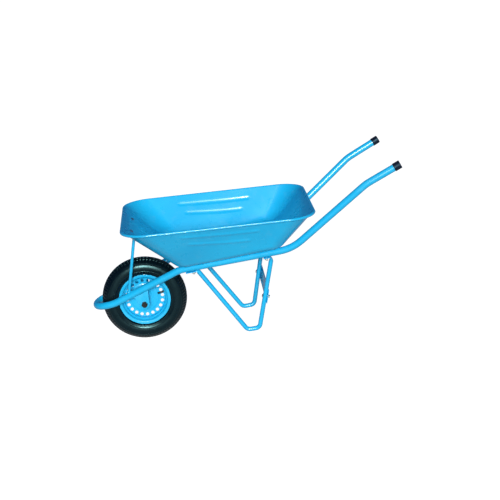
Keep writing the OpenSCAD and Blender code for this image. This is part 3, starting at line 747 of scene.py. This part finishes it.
def build_disc():
    """The disc: plate, turned edge, and between them a band with a lipped hole in each share."""
    points, faces = [], []

    def add(ring):
        start = len(points)
        points.extend(ring)
        return list(range(start, start + len(ring)))

    def strip(a, b):
        for i in range(len(a)):
            k = (i + 1) % len(a)
            faces.append((a[i], a[k], b[k], b[i]))

    total = HOLES * PER_HOLE
    turn = 2 * math.pi / total
    first = (FIRST_HOLE - 0.5) * 2 * math.pi / HOLES

    def circle(r, z):
        return add([wheel_point(r, first + k * turn, z) for k in range(total)])

    front = [circle(r, DISC_HALF + disc_lift(r)) for r in PLATE_RADII]
    back = [circle(r, -DISC_HALF + disc_lift(r)) for r in PLATE_RADII]
    outside_front = [circle(r, z) for r, z in EDGE_FRONT]
    outside_back = [circle(r, z) for r, z in EDGE_BACK]
    for rings in (front, back, outside_front, outside_back):
        for a, b in zip(rings, rings[1:]):
            strip(a, b)
    strip(front[0], back[0])
    strip(outside_front[-1], outside_back[-1])
    half, band = math.pi / HOLES, BAND_OUT - BAND_IN
    for i in range(HOLES):
        middle = first + (i + 0.5) * 2 * math.pi / HOLES
        edge = [(BAND_IN, -half + 2 * half * k / PER_HOLE) for k in range(PER_HOLE)]
        edge += [(BAND_IN + band * k / PER_HOLE, half) for k in range(PER_HOLE)]
        edge += [(BAND_OUT, half - 2 * half * k / PER_HOLE) for k in range(PER_HOLE)]
        edge += [(BAND_OUT - band * k / PER_HOLE, -half) for k in range(PER_HOLE)]
        rings = []
        for reach, z in LIP:
            ring = []
            for r, a in edge:
                x, y = r * math.cos(a) - HOLE_RING, r * math.sin(a)
                if reach is not None:
                    size = (HOLE_R + reach) / math.hypot(x, y)
                    x, y = x * size, y * size
                rr, aa = math.hypot(x + HOLE_RING, y), math.atan2(y, x + HOLE_RING)
                ring.append(wheel_point(rr, middle + aa, z))
            rings.append(add(ring))
        for a, b in zip(rings, rings[1:]):
            strip(a, b)
    piece("wheel_disc_pressing", points, faces, "wheel", PAINT, ("wheel_disc",), sharp=38)


PITCHES = 80
PER_PITCH = 6
CASING_AT, CASING_R, CASING_INSIDE_R = 145.0, 45.0, 37
# The tread's angles from the crown: its zigzag groove, its shoulder line and its outer end
ZIGZAG, SHOULDER, TREAD_END = 15, (30, 34), 56


def tread_depth(p, degrees, side):
    """Depth of the tread's grooves at share p of a pitch, at an angle from the crown."""
    a = abs(degrees)
    if side < 0:
        p = (p + 0.5) % 1.0
    wave = 2.2 * (1 - 4 * abs(p - 0.5))
    depth = 5.0 * float(smooth((2.9 - abs(a - ZIGZAG - wave)) / 1.3))
    if ZIGZAG + wave < a < TREAD_END:
        lug = float(smooth((0.26 - abs(p - 0.5)) / 0.10))
        depth = max(depth, 3.6 * lug * float(smooth((54 - a) / 12)))
    if a < 9:
        depth = max(depth, 2.2 * float(smooth((0.10 - abs(p)) / 0.06)))
    if SHOULDER[0] < a < SHOULDER[1]:
        depth = max(depth, 1.6)
    return depth


def sidewall_rise(degrees):
    """Raised rings on the sidewall: shoulder line, mould ring and rim guard."""
    a = abs(degrees)
    rise = 0.9 * float(smooth((1.6 - abs(a - 66)) / 1.0))
    rise += 0.6 * float(smooth((1.4 - abs(a - 104)) / 1.0))
    return rise + 1.2 * float(smooth((3.0 - abs(a - 121)) / 1.8))


def build_tyre():
    """The tyre's casing with its tread, closed on the inside of its beads."""
    tread = np.arange(0, 60, 2.0)
    wall = np.concatenate([np.arange(60, 70, 1.5), np.arange(71, 101, 3.0), np.arange(101.5, 108, 1.2),
        np.arange(110, 117, 2.0), np.arange(117.5, 127, 1.3)])
    half = np.concatenate([tread, wall])
    degrees = np.concatenate([-half[::-1], half[1:]])
    under = [(115.6, 29.6), (107, 28.2), (103.3, 25.5), (103.3, 18.5)]
    angles = np.radians(np.arange(150, -151, -15))
    inner = [(CASING_AT + CASING_INSIDE_R * math.cos(w), CASING_INSIDE_R * math.sin(w)) for w in angles]
    hidden = under + inner + [(r, -z) for r, z in under[::-1]]
    turns = PITCHES * PER_PITCH
    points = []
    for k in range(turns):
        a = 2 * math.pi * k / turns
        p = (k % PER_PITCH) / PER_PITCH
        for d in degrees:
            w = math.radians(d)
            r = CASING_R - tread_depth(p, d, d) + sidewall_rise(d)
            points.append(wheel_point(CASING_AT + r * math.cos(w), a, r * math.sin(w)))
        points += [wheel_point(r, a, z) for r, z in hidden]
    faces = grid_faces(turns, len(degrees) + len(hidden), True, True)
    piece("treaded_tyre", points, faces, "wheel", TYRE, ("tyre",), sharp=48)


build_rim()
build_disc()
build_tyre()

# ---------------------------------------------------------------- plates with eased edges


def eased(name, node_name, width):
    """A copy of a CAD plate whose sharp edges are rounded, standing for that node."""
    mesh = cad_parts[node_name].data.copy()
    mesh.name = name
    work = bmesh.new()
    work.from_mesh(mesh)
    bmesh.ops.remove_doubles(work, verts=work.verts, dist=1e-6)
    bmesh.ops.dissolve_limit(work, angle_limit=math.radians(2), verts=work.verts, edges=work.edges)
    sharp = [e for e in work.edges if len(e.link_faces) == 2 and e.calc_face_angle() > math.radians(50)]
    bmesh.ops.bevel(
        work, geom=sharp, offset=width / 1000, segments=3, profile=0.5, affect="EDGES", clamp_overlap=True)
    bmesh.ops.recalc_face_normals(work, faces=work.faces)
    work.to_mesh(mesh)
    work.free()
    for polygon in mesh.polygons:
        polygon.use_smooth = True
    mesh.set_sharp_from_angle(angle=math.radians(32))
    obj = bpy.data.objects.new(name, mesh)
    bpy.context.scene.collection.objects.link(obj)
    mesh.materials.clear()
    mesh.materials.append(PAINT)
    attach(obj, "frame")
    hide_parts(node_name)


eased("bracket_plate_left", "axle_bracket_left", 0.9)
eased("bracket_plate_right", "axle_bracket_right", 0.9)
eased("leg_strap", "leg_brace", 0.9)

# ---------------------------------------------------------------- materials of the CAD nodes

PAINTED = (
    "frame_tube", "wheel_hub", "tray", "tray_stay_left", "tray_stay_right", "leg_left", "leg_right",
    "leg_brace", "axle_bracket_left", "axle_bracket_right", "axle_washers", "wheel_disc", "wheel_rim",
)
PLATED = (
    "rim_wire", "stay_bolts", "stay_washers", "stay_nuts", "brace_bolts", "brace_nuts",
    "tray_bolts", "tray_washers", "tray_nuts", "axle_spacers",
)
MOULDED = ("handle_cap_left", "handle_cap_right", "hub_bush_left", "hub_bush_right", "valve_cap")

for names, material in (
    (PAINTED, PAINT),
    (MOULDED, PLASTIC),
    (("valve_stem", "inner_tube"), RUBBER),
    (("tyre",), TYRE),
    (("axle", "axle_nuts"), DARK),
    (PLATED, ZINC),
):
    for name in names:
        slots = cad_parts[name].data.materials
        if not slots:
            slots.append(material)
        for i in range(len(slots)):
            slots[i] = material

# ---------------------------------------------------------------- floor, light and camera


def disc_floor(radius, sides=96):
    """A round floor, its radius in metres."""
    mesh = bpy.data.meshes.new("studio_floor")
    angles = [2 * math.pi * k / sides for k in range(sides)]
    ring = [(radius * math.cos(a), radius * math.sin(a), 0.0) for a in angles]
    mesh.from_pydata(ring, [], [tuple(range(sides))])
    mesh.materials.append(pale_floor())
    obj = bpy.data.objects.new("studio_floor", mesh)
    bpy.context.scene.collection.objects.link(obj)


disc_floor(150.0)


middle = (cad_lo + cad_hi) / 2


def light(kind, name, offset, **settings):
    """A light at offset metres from the barrow's middle, aimed at it."""
    data = bpy.data.lights.new(name, kind)
    for key, value in settings.items():
        setattr(data, key, value)
    obj = bpy.data.objects.new(name, data)
    bpy.context.scene.collection.objects.link(obj)
    obj.location = middle + Vector(offset)
    obj.rotation_euler = (middle - obj.location).to_track_quat("-Z", "Y").to_euler()
    return obj


light("SUN", "key", (0.1, -5.2, 1.6), energy=4.5, color=(0.95, 1.0, 0.85), angle=math.radians(14))
fill = light("SUN", "fill", (0.3, 5.2, 1.6), energy=0.6, color=(0.80, 0.90, 1.0), angle=math.radians(40))
fill.visible_glossy = False
light("AREA", "overhead", (-0.5, -1.6, 2.2), energy=6.0, shape="RECTANGLE", size=1.8, size_y=0.3)

# The camera sees a white surround, and everything else is lit by a weak blue one
world = bpy.data.worlds.new("studio")
bpy.context.scene.world = world
world.use_nodes = True
sky = world.node_tree.nodes["Background"]
seen = node(world.node_tree, "ShaderNodeLightPath").outputs["Is Camera Ray"]
world.node_tree.links.new(blended(world.node_tree, seen, (0.22, 0.30, 1.0, 1), (1, 1, 1, 1)), sky.inputs[0])
world.node_tree.links.new(remap(world.node_tree, seen, 0.0, 1.0, 0.15, 0.98), sky.inputs[1])

scene = bpy.context.scene
scene.view_settings.view_transform = "Standard"
scene.view_settings.look = "None"

cam = bpy.data.cameras.new("camera")
cam.sensor_width = 36.0
cam.lens = 90.0
cam.clip_start, cam.clip_end = 0.05, 500.0
camera = bpy.data.objects.new("camera", cam)
scene.collection.objects.link(camera)
CAMERA_AT = vec(381, -5390, 1884)
yaw, pitch, roll = math.radians(-1.3), math.radians(16.16), math.radians(-9.72)
ahead = Vector((-math.sin(yaw) * math.cos(pitch), math.cos(yaw) * math.cos(pitch), -math.sin(pitch)))
right = Vector((math.cos(yaw), math.sin(yaw), 0))
up = right.cross(ahead)
across = math.cos(roll) * right + math.sin(roll) * up
upward = -math.sin(roll) * right + math.cos(roll) * up
turn = Matrix((across, upward, -ahead)).transposed()
camera.matrix_world = Matrix.Translation(Vector(placed(CAMERA_AT))) @ turn.to_4x4()
scene.camera = camera

# ---------------------------------------------------------------- the end

bpy.context.view_layer.update()
